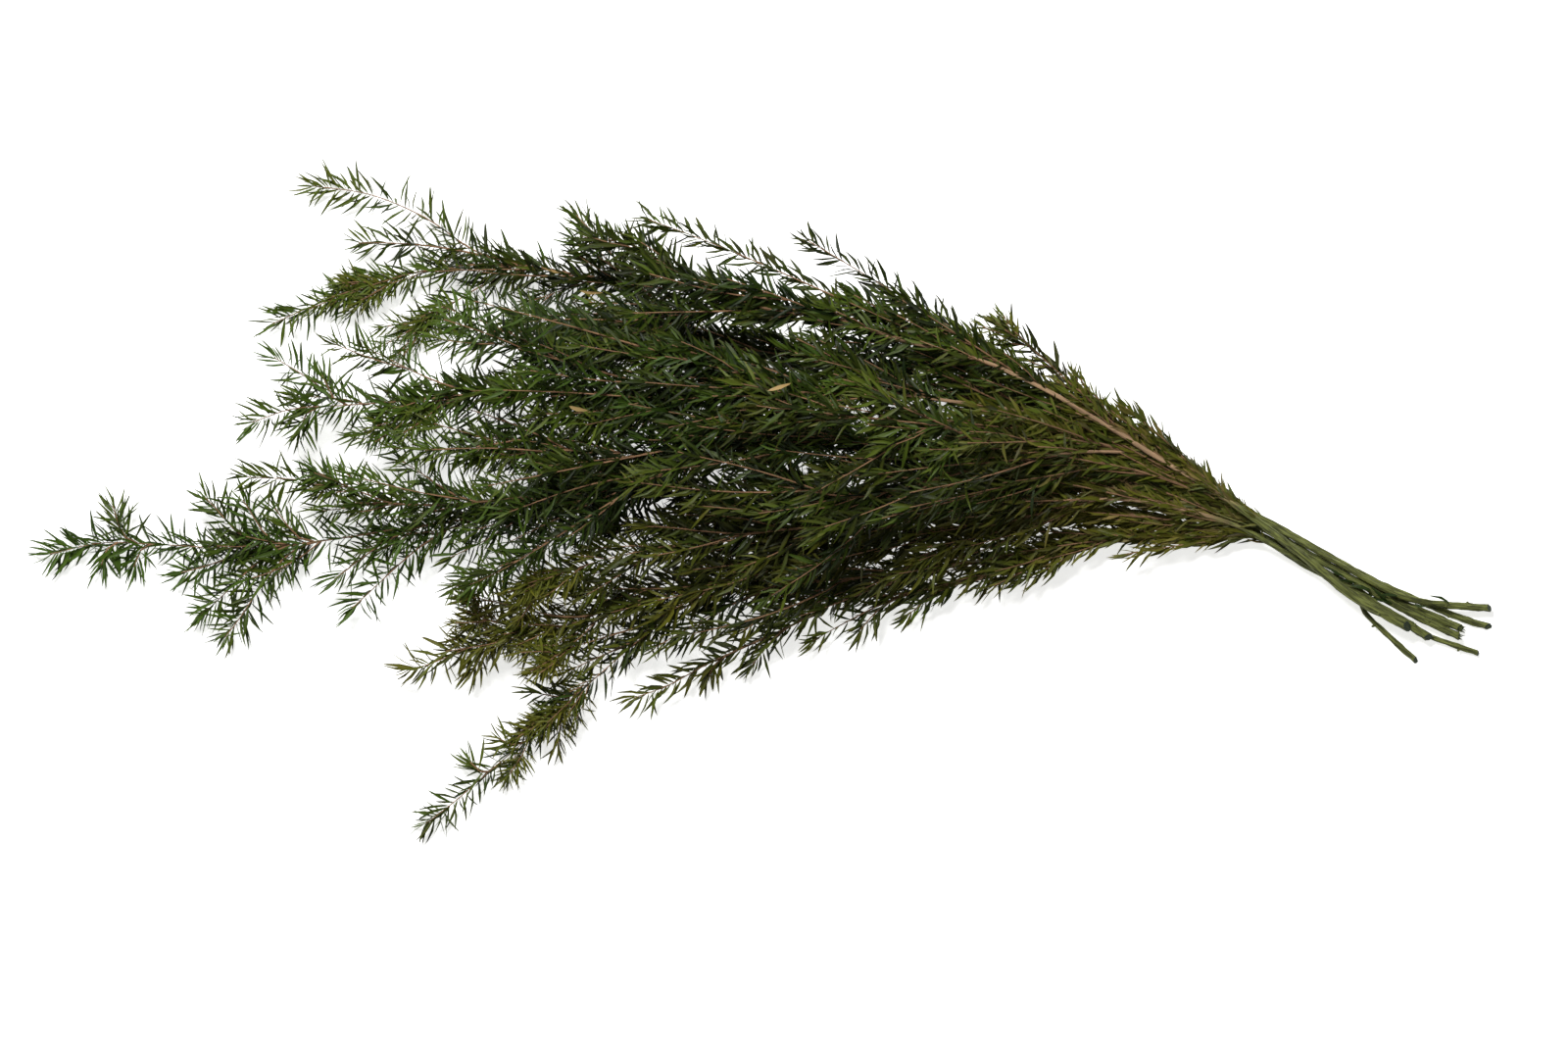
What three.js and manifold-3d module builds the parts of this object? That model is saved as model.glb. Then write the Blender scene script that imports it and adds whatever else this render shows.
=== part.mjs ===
// A gathered bunch of eight preserved tea tree stems, lying on its side on a flat surface.
// X runs along the bunch to the cut ends, Y runs across it and Z is up. The surface is Z = 0.
// The origin is on the surface, under the middle of the bunch. All lengths are in millimetres.

import * as THREE from 'three';
import { mergeVertices } from 'three/addons/utils/BufferGeometryUtils.js';
import Module from 'manifold-3d';

const wasm = await Module();
wasm.setup();

// Driving dimensions of a leaf. It is narrow, pointed at both ends and has a keel underneath.
// It stands out from its twig at the spread angle, and the last one of a twig at the tip angle.
const LEAF_LENGTHS = [11, 15];
const LEAF_WIDTH = 2.3;
const LEAF_KEEL = 0.8;
const LEAF_SPREAD = THREE.MathUtils.degToRad(40);
const LEAF_TIP_SPREAD = THREE.MathUtils.degToRad(20);
const LEAF_SPACING = 22.8;
const LEAF_TURNS = 8;
const LEAFY_BELOW_X = 268;

// The last leaf of a branch reaches this far beyond the wood.
const LEAF_BEYOND_WOOD = 8;

// A leaf that meets the surface lies on it, pressed in by this much.
const SURFACE_PRESS = 0.25;

// Driving dimensions of the wood. All of it tapers to a point.
const STEM_SIDES = 5;
const TWIG_SIDES = 3;
const SHOOT_STEP = 52;
const SHOOT_LEAD = 0.35;
const LIMB_RADIUS = 1.4;
const SHOOT_RADIUS = 1.0;
const TWIG_RADIUS = 0.85;
const TWIG_LENGTHS = [25, 43];
const TWIG_SPACING = 150;
const TWIG_FIRST = 60;
const TWIG_LAST = 20;
const TWIG_SPREAD = THREE.MathUtils.degToRad(34);
const TWIG_SWAY = THREE.MathUtils.degToRad(50);
const TAPER = 0.7;

// Successive leaves stand a golden turn apart round their twig.
const GOLDEN_TURN = THREE.MathUtils.degToRad(137.5);
const CLEARANCE = 0.35;
const SEED = 7;

// The stems lie side by side along this line, where the bunch is gathered.
const GATHER_START = new THREE.Vector3(278, -13, 9);
const GATHER_END = new THREE.Vector3(337, -46, 7);

// Each stem: its radius at the cut end, its place in the gathered bunch as the distance across the
// line at its start and its end and the height above it, the way to its cut end, and its limbs.
// Limb 0 is the stem itself. A later limb grows from limb 0 where that passes the given X.
// A shoot is [limb, X where it leaves the limb, tip X, tip Y, tip Z, sideways bow].
const STEMS = [
    {
        name: 'tea_tree_stem_1',
        color: 0x33421f,
        radius: 3.0,
        gathered: { start: 2, end: -8.5, up: 9.8 },
        cutEnd: [[345, -60, 16], [361, -69, 15]],
        limbs: [
            { route: [[247, 11, 21], [227, 22, 25], [184, 48, 44], [155, 64, 58], [121, 79, 70], [70, 92, 80],
                [37, 103, 84], [5, 107, 84], [-16, 114, 82], [-40, 125, 78], [-69, 140, 72], [-95, 151, 66],
                [-110, 166, 62]] },
            { from: 124, route: [[90, 77, 54], [47, 75, 42], [10, 86, 34], [-32, 92, 28], [-70, 121, 25],
                [-107, 129, 21], [-158, 140, 17], [-191, 161, 13], [-222, 174, 9], [-262, 180, 7]] },
        ],
        shoots: [
            [0, 274, 196, 58, 38, 5],
            [0, 226, 124, 103, 72, 9],
            [0, 206, 18, 150, 62, 2],
            [0, 160, 66, 118, 88, 3],
            [0, 127, -71, 160, 66, 6],
            [0, 66, -28, 126, 94, 3],
            [0, 31, -112, 95, 64, 6],
            [1, 40, -76, 90, 44, 4],
            [1, 5, -107, 82, 38, 3],
            [1, -25, -122, 102, 32, 2],
            [1, -30, -78, 98, 12, 0],
            [1, -60, -112, 150, 30, 2],
            [1, -75, -140, 112, 12, 0],
            [1, -118, -206, 94, 9, 2],
            [1, -121, -284, 98, 7, 15],
            [1, -150, -236, 146, 16, 5],
            [0, 196, 108, 66, 44, 2],
        ],
    },
    {
        name: 'tea_tree_stem_2',
        color: 0x2f4722,
        radius: 1.9,
        gathered: { start: 5.5, end: 5.5, up: 0 },
        cutEnd: [[374, -57, 3.2], [394, -65, 1.4], [408, -69, 1.4]],
        limbs: [
            { route: [[240, 11, 12.5], [212, 24, 18], [187, 38, 28], [155, 50, 42], [126, 54, 54], [95, 58, 66],
                [64, 62, 76], [24, 64, 82], [-9, 64, 82], [-50, 58, 76], [-77, 60, 73], [-103, 62, 69],
                [-151, 62, 58], [-192, 58, 49], [-234, 55, 40], [-264, 53, 34], [-295, 43, 28]] },
        ],
        shoots: [
            [0, 270, 214, 36, 27, 4],
            [0, 150, 84, 76, 70, 4],
            [0, 100, 20, 84, 92, 3],
            [0, 60, -40, 44, 88, -3],
            [0, 30, -62, 82, 98, 4],
            [0, 40, -92, 90, 84, 4],
            [0, -12, -170, 92, 76, 4],
            [0, -60, -118, 46, 60, -3],
            [0, -143, -236, 37, 36, -3],
            [0, -150, -229, 90, 46, -2],
            [0, -233, -251, 79, 38, 0],
            [0, -249, -264, 33, 22, 0],
            [0, 200, 112, 40, 34, -2],
            [0, 20, -100, 42, 58, -3],
        ],
    },
    {
        name: 'tea_tree_stem_3',
        color: 0x3b4a21,
        radius: 2.1,
        gathered: { start: 3.9, end: 3.9, up: 3.9 },
        cutEnd: [[360, -52.5, 10], [384, -57, 8], [408, -58.6, 6]],
        limbs: [
            { route: [[240, 12, 18], [212, 26, 25], [184, 34, 42], [155, 35, 60], [132, 34, 74], [113, 37, 86],
                [101, 42, 92], [70, 46, 98], [39, 49, 102], [19, 53, 102], [-5, 62, 100]] },
            { from: 205, route: [[179, 29, 46], [162, 27, 56], [142, 24, 63], [121, 20, 68], [93, 13, 71],
                [66, 6, 73], [40, 2, 74], [3, 0, 72]] },
        ],
        shoots: [
            [0, 112, 90, 16, 88, -3],
            [0, 104, 48, 62, 110, 3],
            [0, 104, 56, 28, 96, -3],
            [0, 60, -6, 44, 98, -2],
            [1, 100, 44, 18, 86, 2],
            [1, 90, 38, -10, 64, -2],
            [1, 60, 0, 10, 82, 2],
            [0, 190, 96, 50, 58, 2],
        ],
    },
    {
        name: 'tea_tree_stem_4',
        color: 0x2c4526,
        radius: 2.1,
        gathered: { start: -0.4, end: -0.4, up: 4.4 },
        cutEnd: [[352, -55.5, 9.5], [371, -65.4, 7.6], [391, -74.5, 6.2]],
        limbs: [
            { route: [[245, 5, 15.5], [233, 11, 21], [206, 19, 31], [189, 21, 37], [167, 21, 43], [126, 23, 52],
                [85, 30, 62], [63, 35, 68], [24, 34, 74], [-18, 32, 76], [-46, 31, 74], [-63, 28, 71],
                [-99, 29, 64], [-132, 35, 57], [-170, 38, 51]] },
            { from: -30, route: [[-45, 25, 66], [-66, 13, 56], [-95, 7, 50], [-154, 1, 43], [-206, 0, 36],
                [-230, 8, 33], [-255, 13, 30], [-289, 15, 27], [-297, 20, 26]] },
        ],
        shoots: [
            [0, 90, 30, 16, 64, -3],
            [0, 60, -20, 50, 90, 3],
            [0, 30, -60, 42, 84, 3],
            [0, 2, -171, -48, 52, -6],
            [0, -60, -104, 14, 60, -2],
            [0, -100, -165, 26, 50, -2],
            [1, -60, -130, 20, 54, 2],
            [1, -90, -168, -16, 38, -3],
            [1, -155, -210, 27, 42, 3],
            [1, -205, -256, -4, 26, -2],
            [0, 206, 120, 10, 56, -3],
        ],
    },
    {
        name: 'tea_tree_stem_5',
        color: 0x284a2a,
        radius: 2.15,
        gathered: { start: 1, end: 1, up: 0 },
        cutEnd: [[352, -52, 6], [371, -61, 5], [392, -70, 4.5]],
        limbs: [
            { route: [[247, -2, 12], [226, 6, 17], [204, 12, 24], [192, 14, 28], [154, 14, 34], [121, 12, 38],
                [77, 7, 40], [38, 0, 41], [2, -3, 40], [-21, -8, 39], [-57, -13, 36], [-99, -10, 32],
                [-154, -8, 27], [-198, -13, 23], [-243, -20, 17], [-292, -25, 12], [-339, -23, 8],
                [-373, -22, 7], [-410, -30, 7]] },
        ],
        shoots: [
            [0, 190, 118, 32, 44, 4],
            [0, 60, -10, 18, 46, 3],
            [0, 0, -70, 8, 38, 2],
            [0, -60, -130, 12, 28, 2],
            [0, -150, -238, -64, 12, 6],
            [0, -185, -248, -47, 16, 3],
            [0, -253, -280, 3, 24, 2],
            [0, -262, -323, -66, 9, -4],
            [0, -250, -309, -80, 8, -4],
            [0, -268, -298, 8, 20, 3],
            [0, -272, -336, -40, 9, -3],
            [0, -278, -320, 8, 18, 3],
            [0, -345, -358, -43, 8, 0],
            [0, -353, -369, 6, 16, 0],
            [0, -364, -376, -42, 9, 0],
            [0, 215, 130, 3, 26, 0],
            [0, 40, -52, 12, 52, 3],
        ],
    },
    {
        name: 'tea_tree_stem_6',
        color: 0x354823,
        radius: 2.4,
        gathered: { start: -5, end: -5, up: 4.2 },
        cutEnd: [[348, -59, 10.3], [361, -67, 9.2], [373.5, -75, 8.4]],
        limbs: [
            { route: [[262, -11, 14.8], [238, -4, 19], [209, 2, 26], [162, 2, 38], [132, 3, 46], [101, 0, 52],
                [67, -6, 56], [38, -12, 58], [5, -15, 57], [-21, -19, 55], [-57, -24, 51], [-99, -34, 46],
                [-121, -42, 43], [-134, -50, 42]] },
        ],
        shoots: [
            [0, 120, 50, -18, 52, -2],
            [0, 80, 3, 3, 64, 2],
            [0, 60, -10, -26, 50, -2],
            [0, 0, -75, -13, 60, 3],
            [0, -40, -106, -54, 40, -2],
            [0, 200, 116, -14, 40, -2],
        ],
    },
    {
        name: 'tea_tree_stem_7',
        color: 0x42491f,
        radius: 1.5,
        gathered: { start: -3.1, end: -3.1, up: -0.2 },
        cutEnd: [[354, -63, 5], [373, -74, 3.6], [384, -78, 3], [402, -84, 2.4]],
        limbs: [
            { route: [[259, -14.5, 10], [226, -9, 14], [188, -5, 19], [157, -8, 23], [123, -12, 28], [89, -19, 32],
                [60, -23, 35], [30, -29, 37], [0, -35, 37], [-37, -47, 34], [-78, -56, 30], [-111, -68, 26],
                [-153, -76, 22], [-188, -90, 18], [-208, -95, 16]] },
        ],
        shoots: [
            [0, 150, 72, -34, 32, -2],
            [0, 90, 20, -36, 44, -2],
            [0, 40, -44, -36, 42, 2],
            [0, -20, -112, -50, 34, 3],
            [0, -60, -128, -84, 20, -2],
            [0, -121, -166, -64, 28, 2],
            [0, -146, -168, -100, 10, 0],
            [0, -90, -172, -52, 36, 3],
        ],
    },
    {
        name: 'tea_tree_stem_8',
        color: 0x374620,
        radius: 1.65,
        gathered: { start: -6.5, end: -6.5, up: 0 },
        cutEnd: [[338, -61, 5], [354, -76.5, 1.15], [367, -88, 1.15]],
        limbs: [
            { route: [[258, -20, 10], [237, -19, 11], [217, -18, 12], [200, -19, 13], [174, -23, 14], [148, -27, 16],
                [121, -32, 18], [94, -36, 19], [55, -41, 21], [11, -46, 22], [-34, -53, 22], [-62, -70, 21],
                [-94, -97, 17], [-125, -125, 12], [-153, -149, 8], [-175, -168, 7], [-197, -185, 7]] },
            { from: 108, route: [[80, -42, 17], [47, -52, 15], [12, -70, 13], [-32, -90, 11], [-54, -102, 10],
                [-81, -112, 10]] },
            { from: 160, route: [[121, -42, 14], [93, -47, 13], [67, -56, 12], [45, -67, 11], [20, -81, 10]] },
        ],
        shoots: [
            [0, 190, 128, -44, 13, -2],
            [0, 90, 18, -60, 22, 2],
            [0, 60, -22, -76, 20, 2],
            [0, 20, -68, -84, 22, 2],
            [0, -44, -126, -88, 28, 3],
            [0, -60, -119, -99, 18, 2],
            [0, -104, -138, -106, 20, 3],
            [0, -108, -118, -143, 8, -2],
            [0, -136, -156, -130, 16, 2],
            [0, -155, -171, -141, 13, 2],
            [1, 15, -13, -98, 8, 0],
            [1, -22, -36, -105, 8, 0],
            [2, 113, 74, -68, 9, 2],
            [2, 74, 48, -77, 8, 0],
        ],
    },
];

const UP = new THREE.Vector3(0, 0, 1);

// A repeatable draw between 0 and 1 for a whole number.
function draw(index) {
    const wave = Math.sin((index + SEED) * 12.9898) * 43758.5453;
    return wave - Math.floor(wave);
}

function drawBetween([low, high], index) {
    return THREE.MathUtils.lerp(low, high, draw(index));
}

function toPoint([x, y, z]) {
    return new THREE.Vector3(x, y, z);
}

// A branch is a piece of wood with straight steps between its points. The last point is the tip
// of its last leaf, so the wood ends short of that.
function makeBranch(route, rootRadius, sides) {
    const last = route.at(-1).clone();
    const back = route.at(-2).clone().sub(last).setLength(LEAF_BEYOND_WOOD);
    const points = [...route.slice(0, -1), last.add(back)];
    const reach = [0];
    for (let i = 1; i < points.length; i += 1) {
        reach.push(reach[i - 1] + points[i].distanceTo(points[i - 1]));
    }
    return { points, reach, rootRadius, sides, length: reach.at(-1), leafyFrom: 0 };
}

function radiusAt(branch, distance) {
    return branch.rootRadius * Math.max(0, 1 - distance / branch.length) ** TAPER;
}

// The step of a branch that holds a distance from its root, as the index of the step's far point.
function stepAt(branch, distance) {
    return Math.max(1, branch.reach.findIndex((reach) => reach >= distance));
}

function pointAt(branch, distance) {
    const i = stepAt(branch, distance);
    const along = (distance - branch.reach[i - 1]) / (branch.reach[i] - branch.reach[i - 1]);
    return branch.points[i - 1].clone().lerp(branch.points[i], along);
}

function tangentAt(branch, distance) {
    const i = stepAt(branch, distance);
    return branch.points[i].clone().sub(branch.points[i - 1]).normalize();
}

// The distance along a branch where it passes an X. Every limb runs towards lower X.
function distanceAtX(branch, x) {
    const i = branch.points.findIndex((point) => point.x <= x);
    const from = branch.points[i - 1];
    const along = (from.x - x) / (from.x - branch.points[i].x);
    return THREE.MathUtils.lerp(branch.reach[i - 1], branch.reach[i], along);
}

// The points of a stem where it lies in the gathered bunch, from the cut end's side to the leafy side.
function gatheredPoints({ start, end, up }) {
    const line = GATHER_END.clone().sub(GATHER_START);
    const across = new THREE.Vector3(-line.y, line.x, 0).normalize();
    return [1, 0.5, 0].map((along) => GATHER_START.clone()
        .addScaledVector(line, along)
        .addScaledVector(across, THREE.MathUtils.lerp(start, end, along))
        .addScaledVector(UP, up));
}

function makeLimbs(stem) {
    const [main, ...others] = stem.limbs;
    const cutEnd = stem.cutEnd.map(toPoint).reverse();
    const points = [...cutEnd, ...gatheredPoints(stem.gathered), ...main.route.map(toPoint)];
    const trunk = makeBranch(points, stem.radius, STEM_SIDES);
    trunk.leafyFrom = distanceAtX(trunk, LEAFY_BELOW_X);
    const limbs = others.map(({ from, route }) => {
        const start = pointAt(trunk, distanceAtX(trunk, from));
        return makeBranch([start, ...route.map(toPoint)], LIMB_RADIUS, TWIG_SIDES);
    });
    return [trunk, ...limbs];
}

// A shoot leaves its limb along the limb's own direction and bends over to its tip. The lead is the
// share of its length that it takes for each.
function makeShoot(limbs, [limb, fromX, tipX, tipY, tipZ, bow]) {
    const distance = distanceAtX(limbs[limb], fromX);
    const start = pointAt(limbs[limb], distance);
    const tip = new THREE.Vector3(tipX, tipY, tipZ);
    const lead = start.distanceTo(tip) * SHOOT_LEAD;
    const leave = start.clone().addScaledVector(tangentAt(limbs[limb], distance), lead);
    const arrive = tip.clone().lerp(start, SHOOT_LEAD);
    arrive.y += bow;
    const curve = new THREE.CubicBezierCurve3(start, leave, arrive, tip);
    const steps = Math.max(2, Math.round(curve.getLength() / SHOOT_STEP));
    return makeBranch(curve.getSpacedPoints(steps), SHOOT_RADIUS, TWIG_SIDES);
}

// The direction that leaves a branch at a spread angle, turned round the branch.
function spreadDirection(tangent, turn, spread) {
    const side = new THREE.Vector3().crossVectors(UP, tangent).normalize().applyAxisAngle(tangent, turn);
    return side.multiplyScalar(Math.sin(spread)).addScaledVector(tangent, Math.cos(spread));
}

function makeTwig(branch, distance, turn, length) {
    const start = pointAt(branch, distance);
    const direction = spreadDirection(tangentAt(branch, distance), turn, TWIG_SPREAD);
    return makeBranch([start, start.clone().addScaledVector(direction, length)], TWIG_RADIUS, TWIG_SIDES);
}

// The straight steps of a branch, each with the radius of its thicker end.
function stepsOf(branch, stem) {
    return branch.points.slice(1).map((point, i) => ({
        stem,
        branch,
        a: branch.points[i],
        b: point,
        radius: radiusAt(branch, branch.reach[i]),
    }));
}

// The shortest distance between two straight steps.
function distanceBetween(p, q) {
    const u = p.b.clone().sub(p.a);
    const v = q.b.clone().sub(q.a);
    const w = p.a.clone().sub(q.a);
    const uu = u.dot(u);
    const uv = u.dot(v);
    const vv = v.dot(v);
    const skew = uu * vv - uv * uv;
    const nearest = skew > 1e-9 ? (uv * v.dot(w) - vv * u.dot(w)) / skew : 0;
    const s = THREE.MathUtils.clamp(nearest, 0, 1);
    const t = THREE.MathUtils.clamp((uv * s + v.dot(w)) / vv, 0, 1);
    const sBack = THREE.MathUtils.clamp((uv * t - u.dot(w)) / uu, 0, 1);
    return w.addScaledVector(u, sBack).addScaledVector(v, -t).length();
}

function isClear(step, others) {
    return others.every((other) => distanceBetween(step, other) > step.radius + other.radius + CLEARANCE);
}

// Small twigs stand above and below the limbs and the long shoots in turn, where they clear the
// surface and all other wood.
function addTwigs(stem, branches, wood, firstIndex) {
    const twigs = [];
    let index = firstIndex;
    for (const branch of branches) {
        const first = branch.leafyFrom + TWIG_FIRST;
        for (let distance = first; distance < branch.length - TWIG_LAST; distance += TWIG_SPACING) {
            index += 1;
            const length = drawBetween(TWIG_LENGTHS, index);
            const sway = drawBetween([-TWIG_SWAY, TWIG_SWAY], index + 0.5);
            const turn = (index % 2 - 0.5) * Math.PI + sway;
            const twig = makeTwig(branch, distance, turn, length);
            const [step] = stepsOf(twig, stem);
            const others = wood.filter((other) => other.branch !== branch);
            if (step.b.z > LEAF_KEEL && isClear(step, others)) {
                twigs.push(twig);
                wood.push(step);
            }
        }
    }
    return twigs;
}

// A closed tube along a branch that ends in a point: a cone whose rings are carried to the branch's points.
function branchSolid(branch) {
    const { points, reach } = branch;
    const count = points.length - 1;
    const geometry = new THREE.CylinderGeometry(0, 1, count, branch.sides, count);
    const position = geometry.getAttribute('position');
    for (let i = 0; i < position.count; i += 1) {
        const ring = Math.round(position.getY(i) + count / 2);
        const ahead = points[Math.min(ring + 1, count)].clone().sub(points[Math.max(ring - 1, 0)]).normalize();
        const side = new THREE.Vector3().crossVectors(UP, ahead).normalize();
        const top = new THREE.Vector3().crossVectors(ahead, side);
        const spoke = Math.hypot(position.getX(i), position.getZ(i)) || 1;
        const radius = radiusAt(branch, reach[ring]) / spoke;
        const vertex = points[ring].clone()
            .addScaledVector(side, -position.getX(i) * radius)
            .addScaledVector(top, position.getZ(i) * radius);
        position.setXYZ(i, vertex.x, vertex.y, vertex.z);
    }
    return toSolid(geometry);
}

// A leaf has four corners: its root in the twig's middle, its two sides and its tip. The sides are
// lifted by the keel's depth above the line from root to tip.
function leafSolid(root, tip, face) {
    const side = new THREE.Vector3().crossVectors(tip.clone().sub(root), face).normalize();
    const broad = root.clone().lerp(tip, 0.5).addScaledVector(face, LEAF_KEEL);
    const left = broad.clone().addScaledVector(side, LEAF_WIDTH / 2);
    const right = broad.clone().addScaledVector(side, -LEAF_WIDTH / 2);
    const corners = [root, left, right, tip];
    const geometry = new THREE.BufferGeometry();
    geometry.setAttribute('position', new THREE.Float32BufferAttribute(corners.flatMap((c) => c.toArray()), 3));
    geometry.setIndex([0, 1, 2, 0, 3, 1, 0, 2, 3, 1, 3, 2]);
    return toSolid(geometry);
}

function toSolid(geometry) {
    geometry.deleteAttribute('normal');
    geometry.deleteAttribute('uv');
    const merged = mergeVertices(geometry, 1e-4);
    const vertProperties = new Float32Array(merged.getAttribute('position').array);
    const triVerts = new Uint32Array(merged.getIndex().array);
    return new wasm.Manifold(new wasm.Mesh({ numProp: 3, vertProperties, triVerts }));
}

// Leaves stand along a branch out to its tip. One that would meet other wood or another leaf is
// turned round the branch, and is left out if no turn is clear.
function growLeaves(stem, branch, wood, leaves, firstIndex) {
    const otherWood = wood.filter((step) => step.branch !== branch);
    const leafyLength = branch.length - branch.leafyFrom;
    const count = Math.max(2, Math.round(leafyLength / LEAF_SPACING));
    const solids = [];
    for (let i = 0; i < count; i += 1) {
        const distance = branch.leafyFrom + leafyLength * (i + 0.75) / count;
        const root = pointAt(branch, distance);
        const tangent = tangentAt(branch, distance);
        const spread = i === count - 1 ? LEAF_TIP_SPREAD : LEAF_SPREAD;
        const length = drawBetween(LEAF_LENGTHS, firstIndex + i) + radiusAt(branch, distance);
        for (let attempt = 0; attempt < LEAF_TURNS; attempt += 1) {
            const turn = (firstIndex + i) * GOLDEN_TURN + attempt * 2 * Math.PI / LEAF_TURNS;
            const direction = spreadDirection(tangent, turn, spread);
            const tip = root.clone().addScaledVector(direction, length);
            tip.z = Math.max(tip.z, -SURFACE_PRESS);
            const outer = { stem, a: root.clone().lerp(tip, 0.3), b: tip, radius: LEAF_WIDTH / 2 };
            if (isClear(outer, otherWood) && isClear(outer, leaves)) {
                const face = tangent.clone().addScaledVector(direction, -tangent.dot(direction)).normalize();
                leaves.push(outer);
                solids.push(leafSolid(root, tip, face));
                break;
            }
        }
    }
    return solids;
}

function toMesh(solid, name, color) {
    const { vertProperties, triVerts } = solid.getMesh();
    const geometry = new THREE.BufferGeometry();
    geometry.setAttribute('position', new THREE.BufferAttribute(vertProperties, 3));
    geometry.setIndex(new THREE.BufferAttribute(triVerts, 1));
    const material = new THREE.MeshStandardMaterial({ color, roughness: 0.6, metalness: 0 });
    const mesh = new THREE.Mesh(geometry, material);
    mesh.name = name;
    return mesh;
}

// All the wood comes first, so that every leaf can keep clear of it.
function growWood() {
    const wood = [];
    const grown = STEMS.map((stem) => {
        const limbs = makeLimbs(stem);
        const shoots = stem.shoots.map((shoot) => makeShoot(limbs, shoot));
        const branches = [...limbs, ...shoots];
        wood.push(...branches.flatMap((branch) => stepsOf(branch, stem.name)));
        return { stem, branches };
    });
    grown.forEach(({ stem, branches }, number) => {
        const carriers = branches.filter((branch) => branch.length > TWIG_SPACING / 2);
        branches.push(...addTwigs(stem.name, carriers, wood, number * 100));
    });
    return { grown, wood };
}

// What presses into the surface is cut flat there.
const UNDERSIDE = { width: 2000, depth: 200 };
const underside = toSolid(new THREE.BoxGeometry(UNDERSIDE.width, UNDERSIDE.width, UNDERSIDE.depth)
    .translate(0, 0, -UNDERSIDE.depth / 2));

function buildBunch() {
    const { grown, wood } = growWood();
    const bunch = new THREE.Group();
    const leaves = [];
    grown.forEach(({ stem, branches }, number) => {
        const solids = branches.map(branchSolid);
        branches.forEach((branch, order) => {
            solids.push(...growLeaves(stem.name, branch, wood, leaves, number * 1000 + order * 37));
        });
        const whole = solids.reduce((joined, solid) => joined.add(solid)).subtract(underside);
        bunch.add(toMesh(whole, stem.name, stem.color));
    });
    return bunch;
}

export default buildBunch();
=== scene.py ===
"""A gathered bunch of preserved tea tree stems, lying on its side: its bark, twigs and leaves."""

import math
import random

import bmesh
import bpy
from bpy.props import FloatProperty, FloatVectorProperty, PointerProperty
from mathutils import Matrix, Vector, noise
from mathutils.geometry import interpolate_bezier


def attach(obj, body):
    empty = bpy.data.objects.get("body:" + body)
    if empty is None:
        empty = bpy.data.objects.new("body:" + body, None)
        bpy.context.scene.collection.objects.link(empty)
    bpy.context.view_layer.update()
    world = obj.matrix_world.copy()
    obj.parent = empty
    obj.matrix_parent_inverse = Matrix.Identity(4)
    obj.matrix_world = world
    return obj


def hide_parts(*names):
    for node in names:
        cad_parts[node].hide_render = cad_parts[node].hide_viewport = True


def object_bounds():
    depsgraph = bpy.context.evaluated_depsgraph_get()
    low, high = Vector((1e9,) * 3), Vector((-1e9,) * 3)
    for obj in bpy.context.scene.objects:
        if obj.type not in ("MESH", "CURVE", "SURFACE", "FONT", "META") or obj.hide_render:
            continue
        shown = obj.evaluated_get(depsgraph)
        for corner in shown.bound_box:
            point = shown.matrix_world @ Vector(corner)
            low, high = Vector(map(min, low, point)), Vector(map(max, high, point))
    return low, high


bl_info = {
    "name": "Tea Tree Bunch",
    "version": (1, 0, 0),
    "blender": (4, 5, 0),
    "location": "View3D > Sidebar > Tea Tree",
    "description": "Makes the wood and the leaves of a bunch of preserved tea tree stems",
    "category": "Object",
}

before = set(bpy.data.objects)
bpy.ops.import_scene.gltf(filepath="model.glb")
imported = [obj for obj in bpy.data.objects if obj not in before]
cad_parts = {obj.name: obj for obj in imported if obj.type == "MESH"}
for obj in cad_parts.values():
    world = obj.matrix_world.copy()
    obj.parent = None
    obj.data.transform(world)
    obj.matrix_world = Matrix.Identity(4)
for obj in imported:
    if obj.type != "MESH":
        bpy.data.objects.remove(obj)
CAD_LOW, CAD_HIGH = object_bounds()

BODY = "root"
MM = 0.001
UP = Vector((0, 0, 1))
GOLDEN_TURN = math.radians(137.5)

# Side counts of the tubes of wood, by the kind of branch.
SIDES = {"trunk": 18, "limb": 10, "shoot": 7, "twig": 5, "bush": 5, "stub": 8}

# Over these X in millimetres the wood turns from its own colour to the dye's.
DYED_FROM_X = (225, 292)

# Heights that everything, the tips of leaves and the tips of small twigs keep within.
LOWEST_POINT = 0.05
LOWEST_LEAF_TIP = 0.8
HIGHEST_LEAF_TIP = 119
LOWEST_TWIG = 6
HIGHEST_TWIG = 104

# Wood with a larger radius than this, below this X, has no twigs on top, so that it shows.
BARE_RADIUS = 1.0
BARE_BELOW_X = 212

# Over these X the leaves close up again towards the gathered place.
BARE_TO_LEAFY_X = (190, 235)

# Below this X a stem has narrowed to its fan radius.
FAN_BELOW_X = 245
THINNEST_TWIG = 0.28
STUB_TAPER = 0.12

# Distances between the points of a route, for the shoots and limbs and for the stems.
ROUTE_STEP = 7
TRUNK_STEP = 3

# Twigs are short or long. Lengths are in millimetres, and leans, from their branch, in degrees.
SHORT_TWIG = (24, 50)
LONG_TWIG = (50, 105)
TWIG_LEAN = (13, 26)
TWIG_LEAN_AT_OPEN_END = 14
TWIG_FREE_END = 14
BUSH_TWIGS = 8
BUSH_TWIG_LENGTH = (13, 27)
BUSH_TWIG_LEAN = (18, 40)
BUSH_REACH = (-22, 16)

# A leaf's size, spread and step differ by these shares, and its roll by this many radians.
LEAF_SIZE = (0.62, 1.15)
LEAF_SPREAD = (0.65, 1.3)
LEAF_STEP = (0.7, 1.3)
LEAF_ROLL = 0.5

# How far a leaf's edges stand up from its midrib, and how far it is pressed flat, as shares.
LEAF_FOLD = 0.22
LEAF_PRESSED = 0.35

# The share of dead leaves, and of those left out because they would hide their stem.
DEAD_LEAVES = 0.0004
HIDING_LEAVES = 0.65

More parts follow.
